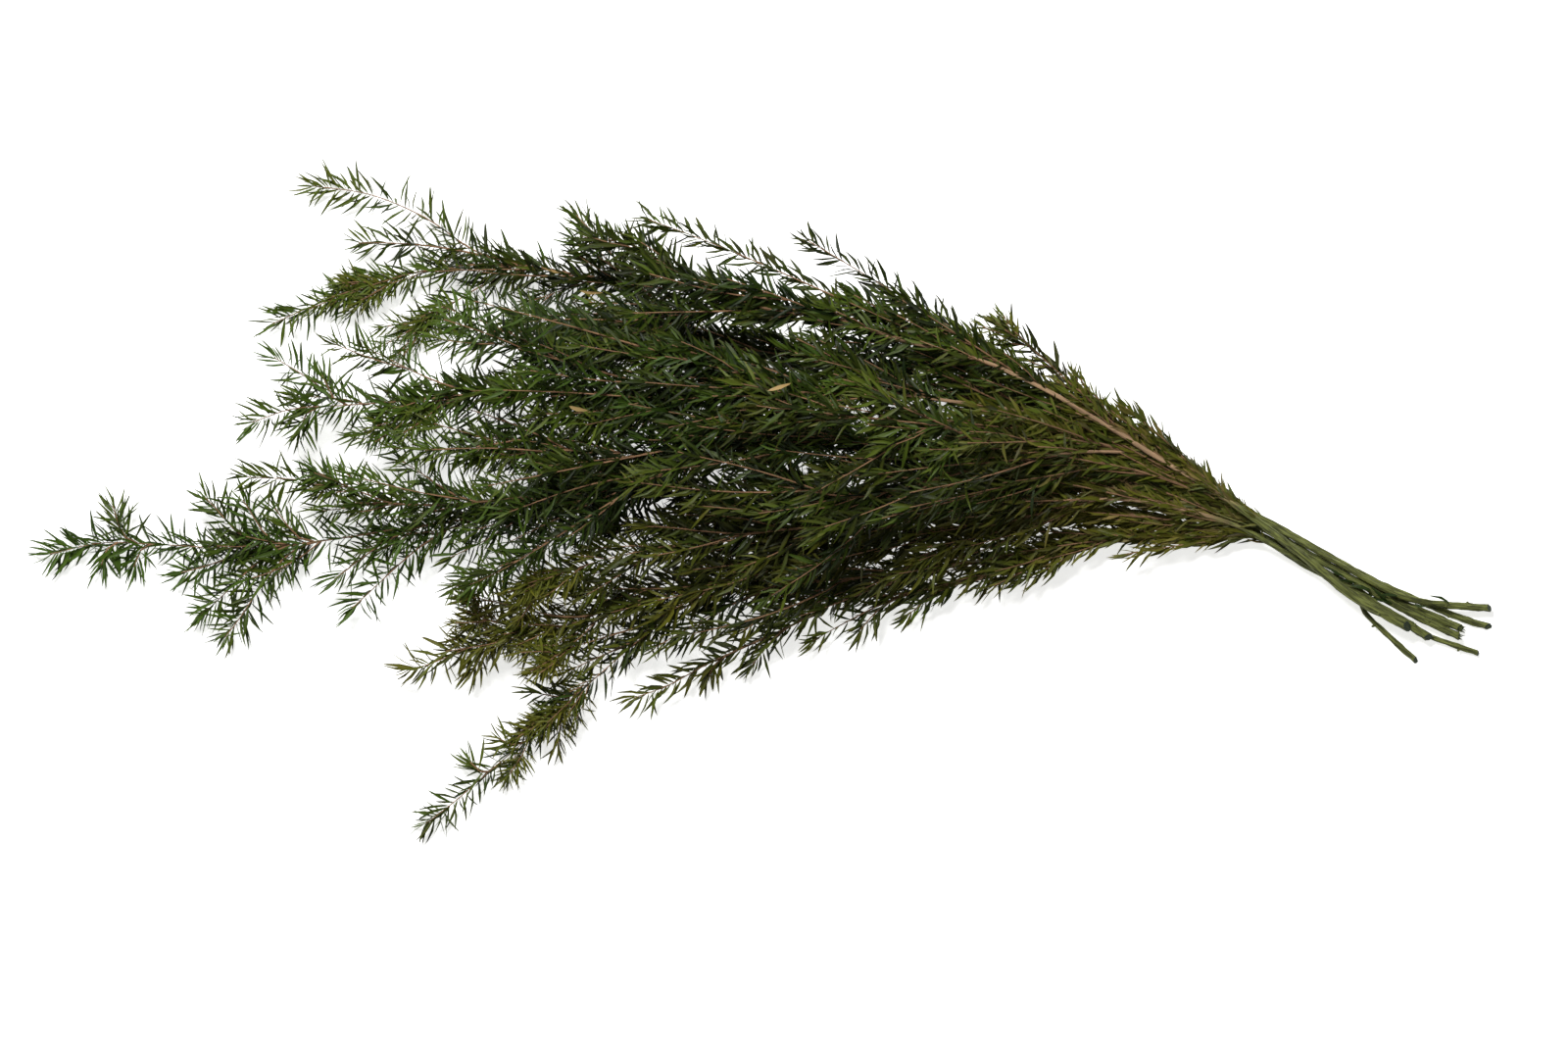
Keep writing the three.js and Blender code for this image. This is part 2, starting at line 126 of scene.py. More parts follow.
# The stem that the loose leaves go with.
LOOSE_LEAVES_ON = 3

# The leaves change over these X towards the gathered place.
GATHERED_X = (90, 240)
RIGHT_PART_X = (40, 120)
CLEAR_WOOD_X = (20, 100)

# They change over these distances the other way, as minus X, towards the open end.
OPEN_END = (-40, 170)
PALE_END = (70, 210)
FAR_END = (240, 330)

FILL_SHARE = 0.10
WORLD_LIGHT = 0.06

# The point under the camera, at the height of most of the outline.
VIEW_CENTRE = Vector((0.011, -0.00935, 0.02))

# The stems lie side by side along this line, where the bunch is gathered. All routes are in
# millimetres, as in the part's own source.
GATHER_START = Vector((278, -13, 9))
GATHER_END = Vector((337, -46, 7))
LEAFY_BELOW_X = 284
LEAF_BEYOND_WOOD = 8
SHOOT_LEAD = 0.35

# Each stem: its radius at the cut end, its place in the gathered bunch as the distance across the
# line at its start and its end and the height above it, the way to its cut end, and its limbs as
# (X where it grows from limb 0, or None for limb 0 itself, and its route).
# A shoot is (limb, X where it leaves the limb, tip X, tip Y, tip Z, sideways bow).
STEMS = [
    {
        "name": "tea_tree_stem_1",
        "radius": 3.0,
        "fan_radius": 1.45,
        "gathered": (2, -8.5, 9.8),
        "olive": 0.3,
        "cut_end": [(345, -60, 16), (361, -69, 15)],
        "limbs": [
            (None, [(247, 11, 21), (227, 22, 25), (184, 48, 44), (155, 64, 58), (121, 79, 70),
                    (70, 92, 80), (37, 103, 84), (5, 107, 84), (-16, 114, 82), (-40, 125, 78),
                    (-69, 140, 72), (-95, 151, 66), (-110, 166, 62)]),
            (124, [(90, 77, 54), (47, 75, 42), (10, 86, 34), (-32, 92, 28), (-70, 121, 25),
                   (-107, 129, 21), (-158, 140, 17), (-191, 161, 13), (-222, 174, 9),
                   (-262, 180, 7)]),
        ],
        "shoots": [
            (0, 274, 196, 58, 38, 5), (0, 226, 124, 103, 72, 9), (0, 206, 18, 150, 62, 2),
            (0, 160, 66, 118, 88, 3), (0, 127, -71, 160, 66, 6), (0, 66, -28, 126, 94, 3),
            (0, 31, -112, 95, 64, 6), (1, 40, -76, 90, 44, 4), (1, 5, -107, 82, 38, 3),
            (1, -25, -122, 102, 32, 2), (1, -30, -78, 98, 12, 0), (1, -60, -112, 150, 30, 2),
            (1, -75, -140, 112, 12, 0), (1, -118, -206, 94, 9, 2), (1, -121, -284, 98, 7, 15),
            (1, -150, -236, 146, 16, 5), (0, 196, 108, 66, 44, 2),
        ],
    },
    {
        "name": "tea_tree_stem_2",
        "radius": 1.9,
        "fan_radius": 1.2,
        "gathered": (5.5, 5.5, 0),
        "olive": 0.2,
        "cut_end": [(374, -57, 3.2), (394, -65, 1.4), (408, -69, 1.4)],
        "limbs": [
            (None, [(240, 11, 12.5), (212, 24, 18), (187, 38, 28), (155, 50, 42), (126, 54, 54),
                    (95, 58, 66), (64, 62, 76), (24, 64, 82), (-9, 64, 82), (-50, 58, 76),
                    (-77, 60, 73), (-103, 62, 69), (-151, 62, 58), (-192, 58, 49), (-234, 55, 40),
                    (-264, 53, 34), (-295, 43, 28)]),
        ],
        "shoots": [
            (0, 270, 214, 36, 27, 4), (0, 150, 84, 76, 70, 4), (0, 100, 20, 84, 92, 3),
            (0, 60, -40, 44, 88, -3), (0, 30, -62, 82, 98, 4), (0, 40, -92, 90, 84, 4),
            (0, -12, -170, 92, 76, 4), (0, -60, -118, 46, 60, -3), (0, -143, -236, 37, 36, -3),
            (0, -150, -229, 90, 46, -2), (0, -233, -251, 79, 38, 0), (0, -249, -264, 33, 22, 0),
            (0, 200, 112, 40, 34, -2), (0, 20, -100, 42, 58, -3),
        ],
    },
    {
        "name": "tea_tree_stem_3",
        "radius": 2.1,
        "fan_radius": 0.9,
        "gathered": (3.9, 3.9, 3.9),
        "olive": 0.4,
        "cut_end": [(360, -52.5, 10), (384, -57, 8), (408, -58.6, 6)],
        "limbs": [
            (None, [(240, 12, 18), (212, 26, 25), (184, 34, 42), (155, 35, 60), (132, 34, 74),
                    (113, 37, 86), (101, 42, 92), (70, 46, 98), (39, 49, 102), (19, 53, 102),
                    (-5, 62, 100)]),
            (205, [(179, 29, 46), (162, 27, 56), (142, 24, 63), (121, 20, 68), (93, 13, 71),
                   (66, 6, 73), (40, 2, 74), (3, 0, 72)]),
        ],
        "shoots": [
            (0, 112, 90, 16, 88, -3), (0, 104, 48, 62, 110, 3), (0, 104, 56, 28, 96, -3),
            (0, 60, -6, 44, 98, -2), (1, 100, 44, 18, 86, 2), (1, 90, 38, -10, 64, -2),
            (1, 60, 0, 10, 82, 2), (0, 190, 96, 50, 58, 2),
        ],
    },
    {
        "name": "tea_tree_stem_4",
        "radius": 2.1,
        "fan_radius": 0.8,
        "gathered": (-0.4, -0.4, 4.4),
        "olive": 0.2,
        "cut_end": [(352, -55.5, 9.5), (371, -65.4, 7.6), (391, -74.5, 6.2)],
        "limbs": [
            (None, [(245, 5, 15.5), (233, 11, 21), (206, 19, 31), (189, 21, 37), (167, 21, 43),
                    (126, 23, 52), (85, 30, 62), (63, 35, 68), (24, 34, 74), (-18, 32, 76),
                    (-46, 31, 74), (-63, 28, 71), (-99, 29, 64), (-132, 35, 57), (-170, 38, 51)]),
            (-30, [(-45, 25, 66), (-66, 13, 56), (-95, 7, 50), (-154, 1, 43), (-206, 0, 36),
                   (-230, 8, 33), (-255, 13, 30), (-289, 15, 27), (-297, 20, 26)]),
        ],
        "shoots": [
            (0, 90, 30, 16, 64, -3), (0, 60, -20, 50, 90, 3), (0, 30, -60, 42, 84, 3),
            (0, 2, -171, -48, 52, -6), (0, -60, -104, 14, 60, -2), (0, -100, -165, 26, 50, -2),
            (1, -60, -130, 20, 54, 2), (1, -90, -168, -16, 38, -3), (1, -155, -210, 27, 42, 3),
            (1, -205, -256, -4, 26, -2), (0, 206, 120, 10, 56, -3),
        ],
    },
    {
        "name": "tea_tree_stem_5",
        "radius": 2.15,
        "fan_radius": 1.0,
        "gathered": (1, 1, 0),
        "olive": 0.03,
        "cut_end": [(352, -52, 6), (371, -61, 5), (392, -70, 4.5)],
        "limbs": [
            (None, [(247, -2, 12), (226, 6, 17), (204, 12, 24), (192, 14, 28), (154, 14, 34),
                    (121, 12, 38), (77, 7, 40), (38, 0, 41), (2, -3, 40), (-21, -8, 39),
                    (-57, -13, 36), (-99, -10, 32), (-154, -8, 27), (-198, -13, 23),
                    (-243, -20, 17), (-292, -25, 12), (-339, -23, 8), (-373, -22, 7),
                    (-410, -30, 7)]),
        ],
        "shoots": [
            (0, 190, 118, 32, 44, 4), (0, 60, -10, 18, 46, 3), (0, 0, -70, 8, 38, 2),
            (0, -60, -130, 12, 28, 2), (0, -150, -238, -64, 12, 6), (0, -185, -248, -47, 16, 3),
            (0, -253, -280, 3, 24, 2), (0, -262, -323, -66, 9, -4), (0, -250, -309, -80, 8, -4),
            (0, -268, -298, 8, 20, 3), (0, -272, -336, -40, 9, -3), (0, -278, -320, 8, 18, 3),
            (0, -345, -358, -43, 8, 0), (0, -353, -369, 6, 16, 0), (0, -364, -376, -42, 9, 0),
            (0, 215, 130, 3, 26, 0), (0, 40, -52, 12, 52, 3),
        ],
    },
    {
        "name": "tea_tree_stem_6",
        "radius": 2.4,
        "fan_radius": 1.1,
        "gathered": (-5, -5, 4.2),
        "olive": 0.75,
        "cut_end": [(348, -59, 10.3), (361, -67, 9.2), (373.5, -75, 8.4)],
        "limbs": [
            (None, [(262, -11, 14.8), (238, -4, 19), (209, 2, 26), (162, 2, 38), (132, 3, 46),
                    (101, 0, 52), (67, -6, 56), (38, -12, 58), (5, -15, 57), (-21, -19, 55),
                    (-57, -24, 51), (-99, -34, 46), (-121, -42, 43), (-134, -50, 42)]),
        ],
        "shoots": [
            (0, 120, 50, -18, 52, -2), (0, 80, 3, 3, 64, 2), (0, 60, -10, -26, 50, -2),
            (0, 0, -75, -13, 60, 3), (0, -40, -106, -54, 40, -2), (0, 200, 116, -14, 40, -2),
        ],
    },
    {
        "name": "tea_tree_stem_7",
        "radius": 1.5,
        "fan_radius": 0.8,
        "gathered": (-3.1, -3.1, -0.2),
        "olive": 1.0,
        "cut_end": [(354, -63, 5), (373, -74, 3.6), (384, -78, 3), (402, -84, 2.4)],
        "limbs": [
            (None, [(259, -14.5, 10), (226, -9, 14), (188, -5, 19), (157, -8, 23), (123, -12, 28),
                    (89, -19, 32), (60, -23, 35), (30, -29, 37), (0, -35, 37), (-37, -47, 34),
                    (-78, -56, 30), (-111, -68, 26), (-153, -76, 22), (-188, -90, 18),
                    (-208, -95, 16)]),
        ],
        "shoots": [
            (0, 150, 72, -34, 32, -2), (0, 90, 20, -36, 44, -2), (0, 40, -44, -36, 42, 2),
            (0, -20, -112, -50, 34, 3), (0, -60, -128, -84, 20, -2), (0, -121, -166, -64, 28, 2),
            (0, -146, -168, -100, 10, 0), (0, -90, -172, -52, 36, 3),
        ],
    },
    {
        "name": "tea_tree_stem_8",
        "radius": 1.65,
        "fan_radius": 0.7,
        "gathered": (-6.5, -6.5, 0),
        "olive": 0.6,
        "cut_end": [(338, -61, 5), (354, -76.5, 1.15), (367, -88, 1.15)],
        "limbs": [
            (None, [(258, -20, 10), (237, -19, 11), (217, -18, 12), (200, -19, 13), (174, -23, 14),
                    (148, -27, 16), (121, -32, 18), (94, -36, 19), (55, -41, 21), (11, -46, 22),
                    (-34, -53, 22), (-62, -70, 21), (-94, -97, 17), (-125, -125, 12),
                    (-153, -149, 8), (-175, -168, 7), (-197, -185, 7)]),
            (108, [(80, -42, 17), (47, -52, 15), (12, -70, 13), (-32, -90, 11), (-54, -102, 10),
                   (-81, -112, 10)]),
            (160, [(121, -42, 14), (93, -47, 13), (67, -56, 12), (45, -67, 11), (20, -81, 10)]),
        ],
        "shoots": [
            (0, 190, 128, -44, 13, -2), (0, 90, 18, -60, 22, 2), (0, 60, -22, -76, 20, 2),
            (0, 20, -68, -84, 22, 2), (0, -44, -126, -88, 28, 3), (0, -60, -119, -99, 18, 2),
            (0, -104, -138, -106, 20, 3), (0, -108, -118, -143, 8, -2),
            (0, -136, -156, -130, 16, 2), (0, -155, -171, -141, 13, 2), (1, 15, -13, -98, 8, 0),
            (1, -22, -36, -105, 8, 0), (2, 113, 74, -68, 9, 2), (2, 74, 48, -77, 8, 0),
        ],
    },
]

# Short stubs of cut side twigs on the bare ends: (stem, distance from the cut end, turn in
# degrees round the stem, length, radius).
STUBS = [
    (3, 11, 200, 1.6, 0.9),
    (3, 24, 70, 1.2, 0.8),
    (7, 10, 20, 1.8, 0.8),
    (8, 30, 30, 2.2, 0.8),
    (6, 9, 130, 1.6, 1.1),
    (6, 19, 20, 1.4, 1.0),
    (1, 16, 60, 1.6, 1.3),
    (2, 22, 40, 1.4, 0.8),
    (4, 18, 110, 1.3, 0.8),
    (5, 26, 240, 1.3, 0.8),
]

# Split fibres at the two frayed ends: (stem, how many).
FRAYED = [(4, 9), (5, 8), (2, 3)]

# Leaves left between the bare ends, and leaves that died: (root, tip, straw), straw from 0 to 1.
LOOSE_LEAVES = [
    ((385, -56, 11), (378, -47, 12), 0),
    ((356, -52, 13), (346, -48, 10), 0),
    ((353, -56, 12), (341, -51, 13), 0),
    ((347, -50, 10), (336, -50, 13), 0),
    ((366, -56, 10), (369, -61, 11), 0),
    ((341, -49, 15), (330, -43, 17), 0),
    ((333, -45, 15), (321, -39, 18), 0),
    ((350, -54, 13), (340, -47, 16), 0),
    ((326, -41, 16), (315, -37, 19), 0),
    ((-102, 118, 84), (-90, 113, 86), 1),
    ((2, 62, 110), (15, 65, 111), 1),
    ((-108, 54, 80), (-99, 49, 82), 0.8),
]

# Small twigs keep inside these two edges of the fan, seen from above, as (X, Y), so that they
# leave the outline to the long shoots.
FAN_TOP = [(-300, 60), (-262, 100), (-235, 128), (-200, 142), (-120, 154), (-60, 148), (-36, 130),
           (-18, 112), (22, 112), (60, 120), (110, 98), (160, 68), (200, 50), (240, 22), (290, -6)]
FAN_BOTTOM = [(-320, -46), (-260, -44), (-200, -60), (-160, -106), (-120, -96), (-60, -80),
              (0, -68), (60, -58), (120, -48), (180, -36), (240, -28), (290, -30)]

# Where many short twigs with young leaves stand close together: (stem, X, Y, Z).
BUSHES = [
    (6, -106, -42, 46),
    (6, -118, -50, 42),
    (7, -132, -72, 26),
    (7, -150, -72, 28),
    (8, -120, -90, 27),
    (8, -128, -124, 12),
    (8, -112, -112, 16),
    (1, -205, 136, 14),
    (1, -222, 114, 10),
    (1, -180, 104, 12),
    (2, -200, 40, 40),
    (4, -230, 10, 34),
    (1, 150, 84, 64),
    (1, 192, 56, 42),
    (5, 46, 8, 44),
    (5, 24, 18, 44),
    (5, 8, 16, 44),
    (4, 22, 27, 55),
    (4, 40, 24, 55),
    (2, 54, 50, 85),
]


class TeaTreeWood(bpy.types.PropertyGroup):
    limb_radius: FloatProperty(
        name="Limb radius", description="Radius of a limb at its root, in millimetres",
        default=1.05, min=0.2)
    shoot_radius: FloatProperty(
        name="Shoot radius", description="Radius of a shoot at its root, in millimetres",
        default=0.68, min=0.2)
    twig_radius: FloatProperty(
        name="Twig radius", description="Radius of a small twig at its root, in millimetres",
        default=0.44, min=0.2)
    twig_spacing: FloatProperty(
        name="Twig spacing", description="Distance between small twigs, in millimetres",
        default=13, min=4)
    taper: FloatProperty(
        name="Taper", description="How fast the radius falls towards a tip", default=0.6, min=0.1)
    bark_tan: FloatVectorProperty(
        name="Bark tan", description="Colour of the bare limbs", subtype="COLOR", size=3,
        default=(0.56, 0.36, 0.205))
    twig_brown: FloatVectorProperty(
        name="Twig brown", description="Colour of the thin twigs", subtype="COLOR", size=3,
        default=(0.31, 0.168, 0.084))
    dyed_green: FloatVectorProperty(
        name="Dyed green", description="Colour of the dyed bare ends", subtype="COLOR", size=3,
        default=(0.150, 0.168, 0.040))
    cut_wood: FloatVectorProperty(
        name="Cut wood", description="Colour of the cut faces", subtype="COLOR", size=3,
        default=(0.030, 0.055, 0.030))


class TeaTreeLeaves(bpy.types.PropertyGroup):
    length: FloatProperty(
        name="Length", description="Length of a full-grown leaf, in millimetres",
        default=16.5, min=2)
    width: FloatProperty(
        name="Width", description="Width of a full-grown leaf, in millimetres",
        default=2.25, min=0.3)
    thickness: FloatProperty(
        name="Thickness", description="Thickness at the midrib, in millimetres",
        default=0.3, min=0.05)
    spacing: FloatProperty(
        name="Spacing", description="Distance along a shoot from leaf to leaf, in millimetres",
        default=1.18, min=0.5)
    spread: FloatProperty(
        name="Spread", description="Angle between a leaf and its shoot", subtype="ANGLE",
        default=math.radians(48))
    dark_green: FloatVectorProperty(
        name="Dark green", description="Colour of the darkest leaves", subtype="COLOR", size=3,
        default=(0.0018, 0.0054, 0.0007))
    mid_green: FloatVectorProperty(
        name="Mid green", description="Colour of the brightest leaves", subtype="COLOR", size=3,
        default=(0.056, 0.106, 0.010))
    olive: FloatVectorProperty(
        name="Olive", description="Colour of the leaves near the bare ends", subtype="COLOR",
        size=3, default=(0.120, 0.112, 0.012))
    straw: FloatVectorProperty(
        name="Straw", description="Colour of the few dead leaves", subtype="COLOR", size=3,
        default=(0.38, 0.25, 0.10))


class TeaTreeStage(bpy.types.PropertyGroup):
    camera_height: FloatProperty(
        name="Camera height", description="Camera above the middle of the bunch", unit="LENGTH",
        default=4.5)
    view_width: FloatProperty(
        name="View width", description="Width of the view at the middle of the bunch",
        unit="LENGTH", default=0.88)
    key_power: FloatProperty(
        name="Key power", description="Power of the large soft light", unit="POWER", default=58)
    floor_colour: FloatVectorProperty(
        name="Floor colour", description="Colour of the floor", subtype="COLOR", size=3,
        default=(0.86, 0.86, 0.85))
    floor_glow: FloatProperty(
        name="Floor glow", description="Light that the floor gives off, as a light table does",
        default=0.7, min=0)


class Branch:
    """A piece of wood along a smooth route from its root to its tip, in millimetres.

    It narrows evenly from its root's radius to its fan radius, and from there to its tip.
    """

    def __init__(self, kind, route, radius, taper):
        self.kind = kind
        self.points = route
        self.radius = self.fan_radius = radius
        self.taper = taper
        self.fan_from = self.leafy_from = 0.0
        self.reach = [0.0]
        for a, b in zip(route, route[1:]):
            self.reach.append(self.reach[-1] + (b - a).length)
        self.length = self.reach[-1]

    def at(self, distance):
        """The point and the heading at a distance from the root."""
        i = 1
        while i < len(self.reach) - 1 and self.reach[i] < distance:
            i += 1
        a, b = self.points[i - 1], self.points[i]
        along = (distance - self.reach[i - 1]) / (self.reach[i] - self.reach[i - 1])
        return a.lerp(b, along), (b - a).normalized()

    def distance_at_x(self, x):
        """How far from the root the branch passes an X."""
        for i in range(1, len(self.points)):
            a, b = self.points[i - 1], self.points[i]
            if b.x <= x:
                span = self.reach[i] - self.reach[i - 1]
                return self.reach[i - 1] + span * (a.x - x) / (a.x - b.x)
        return self.length

    def radius_at(self, distance):
        if distance < self.fan_from:
            return self.radius + (self.fan_radius - self.radius) * distance / self.fan_from
        left = max(0.0, (self.length - distance) / (self.length - self.fan_from))
        return max(self.fan_radius * left ** self.taper, THINNEST_TWIG)


def shortened(points):
    """The same route with its end moved back, because the last leaves reach beyond the wood."""
    back = (points[-2] - points[-1]).normalized() * LEAF_BEYOND_WOOD
    return points[:-1] + [points[-1] + back]


def smooth_route(points, step):
    """Points every few millimetres on a smooth curve through the given ones."""
    last = len(points) - 1
    headings = [(points[min(i + 1, last)] - points[max(i - 1, 0)]).normalized()
                for i in range(last + 1)]
    route = [points[0]]
    for i in range(last):
        a, b = points[i], points[i + 1]
        handle = (b - a).length / 3
        count = max(3, round((b - a).length / step) + 1)
        route += interpolate_bezier(a, a + headings[i] * handle,
                                    b - headings[i + 1] * handle, b, count)[1:]
    return route


def gathered_points(start, end, up):
    """Where a stem passes through the gathered place, from the bare end's side."""
    line = GATHER_END - GATHER_START
    across = Vector((-line.y, line.x, 0)).normalized()
    return [GATHER_START + line * along + across * (start + (end - start) * along) + UP * up
            for along in (1, 0.5, 0)]


def spread_direction(heading, turn, spread):
    """The direction that leaves a branch at an angle, turned round the branch."""
    side = UP.cross(heading).normalized()
    side.rotate(Matrix.Rotation(turn, 3, heading))
    return side * math.sin(spread) + heading * math.cos(spread)


def make_limbs(stem, wood):
    points = [Vector(p) for p in reversed(stem["cut_end"])] + gathered_points(*stem["gathered"])
    points += [Vector(p) for p in stem["limbs"][0][1]]
    trunk = Branch("trunk", smooth_route(shortened(points), TRUNK_STEP), stem["radius"], wood.taper)
    trunk.leafy_from = trunk.distance_at_x(LEAFY_BELOW_X)
    trunk.fan_from = trunk.distance_at_x(FAN_BELOW_X)
    trunk.fan_radius = stem["fan_radius"]
    limbs = [trunk]
    for from_x, route in stem["limbs"][1:]:
        start, _ = trunk.at(trunk.distance_at_x(from_x))
        points = [start] + [Vector(p) for p in route]
        limbs.append(Branch("limb", smooth_route(shortened(points), ROUTE_STEP),
                            wood.limb_radius, wood.taper))
    return limbs


def make_shoot(limbs, shoot, wood):
    limb, from_x, tip_x, tip_y, tip_z, bow = shoot
    start, heading = limbs[limb].at(limbs[limb].distance_at_x(from_x))
    tip = Vector((tip_x, tip_y, tip_z))
    leave = start + heading * (tip - start).length * SHOOT_LEAD
    arrive = tip.lerp(start, SHOOT_LEAD) + Vector((0, bow, 0))
    count = max(4, round((tip - start).length / ROUTE_STEP))
    route = interpolate_bezier(start, leave, arrive, tip, count)
    return Branch("shoot", shortened(route), wood.shoot_radius, wood.taper)


def edge_at(edge, x):
    for (x0, y0), (x1, y1) in zip(edge, edge[1:]):
        if x0 <= x <= x1:
            return y0 + (y1 - y0) * (x - x0) / (x1 - x0)
    return 0.0


def is_inside_fan(point):
    low, high = edge_at(FAN_BOTTOM, point.x), edge_at(FAN_TOP, point.x)
    return low < point.y < high and LOWEST_TWIG < point.z < HIGHEST_TWIG


def make_side_branch(kind, branch, distance, length, rng, wood):
    """A side shoot or twig that leaves its branch at an angle and bends back along it."""
    start, heading = branch.at(distance)
    open_end = smooth_share(-start.x, 120, 260)
    spread = math.radians(rng.uniform(*TWIG_LEAN) + TWIG_LEAN_AT_OPEN_END * open_end)
    spread *= 1 - 0.5 * smooth_share(start.x, 150, 240)
    direction = spread_direction(heading, rng.uniform(0, 2 * math.pi), spread)
    leave = start + direction * length * 0.45
    tip = start + (direction + heading * 0.8).normalized() * length
    arrive = tip - (heading + direction * 0.4).normalized() * length * 0.35
    route = interpolate_bezier(start, leave, arrive, tip, max(3, round(length / 8)))
    radius = wood.twig_radius * (0.75 + length / 150)
    return Branch(kind, route, radius, wood.taper)


def make_side_branches(branches, wood, rng):
    """Side shoots and small twigs all round the limbs and the long shoots."""
    found = []
    for branch in branches:
        distance = branch.leafy_from + rng.uniform(0.2, 1) * wood.twig_spacing
        while distance < branch.length - TWIG_FREE_END:
            start, _ = branch.at(distance)
            open_side = smooth_share(-start.y, -8, 12) * smooth_share(-start.x, -60, 50)
            opened = max(smooth_share(-start.x, 70, 190), 0.8 * open_side)
            length = rng.choice((rng.uniform(*SHORT_TWIG), rng.uniform(*LONG_TWIG)))
            length *= 1 - 0.45 * opened
            for share in (1, 0.5):
                side = make_side_branch("twig", branch, distance, length * share, rng, wood)
                root, next_point = side.points[:2]
                is_bare = branch.radius_at(distance) > BARE_RADIUS and root.x < BARE_BELOW_X
                if is_inside_fan(side.points[-1]) and not (is_bare and next_point.z > root.z):
                    found.append(side)
                    break
            low = (1 - smooth_share(root.z, 14, 50)) * (1 - smooth_share(root.x, 90, 170))
            step = wood.twig_spacing * rng.uniform(0.6, 1.4) * (1 + 0.6 * low + 2.4 * opened)
            distance += step * (1 - 0.5 * smooth_share(root.x, 130, 190))
    return found


def make_bush(branches, place, wood, rng):
    """Short twigs close together on the branch that passes nearest to a place."""
    nearest = min(((point - place).length, order, reach)
                  for order, branch in enumerate(branches)
                  for point, reach in zip(branch.points, branch.reach))
    branch, middle = branches[nearest[1]], nearest[2]
    found = []
    for i in range(BUSH_TWIGS):
        distance = min(max(middle + rng.uniform(*BUSH_REACH), 0), branch.length - 4)
        start, heading = branch.at(distance)
        length = rng.uniform(*BUSH_TWIG_LENGTH)
        side = spread_direction(heading, rng.uniform(-0.4, math.pi + 0.4),
                                math.radians(rng.uniform(*BUSH_TWIG_LEAN)))
        tip = start + (side + heading * 0.4).normalized() * length
        tip.z = max(tip.z, LOWEST_TWIG)
        route = interpolate_bezier(start, start + side * length * 0.5, tip, tip, 4)
        found.append(Branch("bush", route, wood.twig_radius * 0.8, wood.taper))
    return found


def grow_stem(stem, wood):
    """All the branches of a stem: its limbs, its shoots, its small twigs and its bushes."""
    rng = random.Random(stem["name"])
    limbs = make_limbs(stem, wood)
    branches = limbs + [make_shoot(limbs, shoot, wood) for shoot in stem["shoots"]]
    twigs = make_side_branches(branches, wood, rng)
    for number, *place in BUSHES:
        if STEMS[number - 1] is stem:
            twigs += make_bush(branches, Vector(place), wood, rng)
    return branches + twigs


def put(socket, value):
    """Links a node's output to a socket, or sets the socket where the value is a constant."""
    if isinstance(value, bpy.types.NodeSocket):
        socket.id_data.links.new(value, socket)
    else:
        socket.default_value = value


def add_math(tree, operation, a, b=0.0):
    node = tree.nodes.new("ShaderNodeMath")
    node.operation = operation
    put(node.inputs[0], a)
    put(node.inputs[1], b)
    return node.outputs[0]


def add_range(tree, value, low, high, to_low=0.0, to_high=1.0):
    """Turns a value between low and high smoothly into one between two others."""
    node = tree.nodes.new("ShaderNodeMapRange")
    node.interpolation_type = "SMOOTHSTEP"
    for socket, number in zip(node.inputs[:5], (value, low, high, to_low, to_high)):
        put(socket, number)
    return node.outputs["Result"]


def add_mix(tree, share, a, b, blend="MIX"):
    """Mixes two colours, given as sockets or as three numbers."""
    node = tree.nodes.new("ShaderNodeMix")
    node.data_type = "RGBA"
    node.blend_type = blend
    put(node.inputs[0], share)
    for socket, colour in ((node.inputs[6], a), (node.inputs[7], b)):
        is_socket = isinstance(colour, bpy.types.NodeSocket)
        put(socket, colour if is_socket else (*colour, 1))
    return node.outputs[2]


def add_split(tree, attribute):
    """The three numbers of a vector attribute."""
    source = tree.nodes.new("ShaderNodeAttribute")
    source.attribute_name = attribute
    split = tree.nodes.new("ShaderNodeSeparateXYZ")
    put(split.inputs[0], source.outputs["Vector"])
    return source.outputs["Vector"], split.outputs[0], split.outputs[1], split.outputs[2]


def shaded(colour, share):
    """The same colour with each of its three numbers times a share."""
    return tuple(number * share for number in colour)


def mottle_group():
    """A patchy value from a place: the patches' scale, and how far they reach down and up."""
    group = bpy.data.node_groups.get("mottle")
    if group:
        return group
    group = bpy.data.node_groups.new("mottle", "ShaderNodeTree")
    group.interface.new_socket(name="Place", in_out="INPUT", socket_type="NodeSocketVector")
    for label, number in (("Scale", 10.0), ("Low", 0.0), ("High", 1.0)):
        socket = group.interface.new_socket(name=label, in_out="INPUT",
                                            socket_type="NodeSocketFloat")
        socket.default_value = number
    group.interface.new_socket(name="Value", in_out="OUTPUT", socket_type="NodeSocketFloat")
    source = group.nodes.new("NodeGroupInput")
    cloud = group.nodes.new("ShaderNodeTexNoise")
    cloud.inputs["Detail"].default_value = 3
    put(cloud.inputs["Vector"], source.outputs["Place"])
    put(cloud.inputs["Scale"], source.outputs["Scale"])
    value = add_range(group, cloud.outputs["Fac"], 0.3, 0.7, source.outputs["Low"],
                      source.outputs["High"])
    put(group.nodes.new("NodeGroupOutput").inputs["Value"], value)
    return group


def add_mottle(tree, place, scale, low=0.0, high=1.0):
    node = tree.nodes.new("ShaderNodeGroup")
    node.node_tree = mottle_group()
    for label, value in (("Place", place), ("Scale", scale), ("Low", low), ("High", high)):
        put(node.inputs[label], value)
    return node.outputs["Value"]


def add_stretch(tree, vector, stretch):
    node = tree.nodes.new("ShaderNodeMapping")
    put(node.inputs["Vector"], vector)
    put(node.inputs["Scale"], stretch)
    return node.outputs["Vector"]


def add_grain(tree, vector, stretch, low=0.0, high=1.0):
    """Patches drawn out along a vector."""
    return add_mottle(tree, add_stretch(tree, vector, stretch), 1.0, low, high)


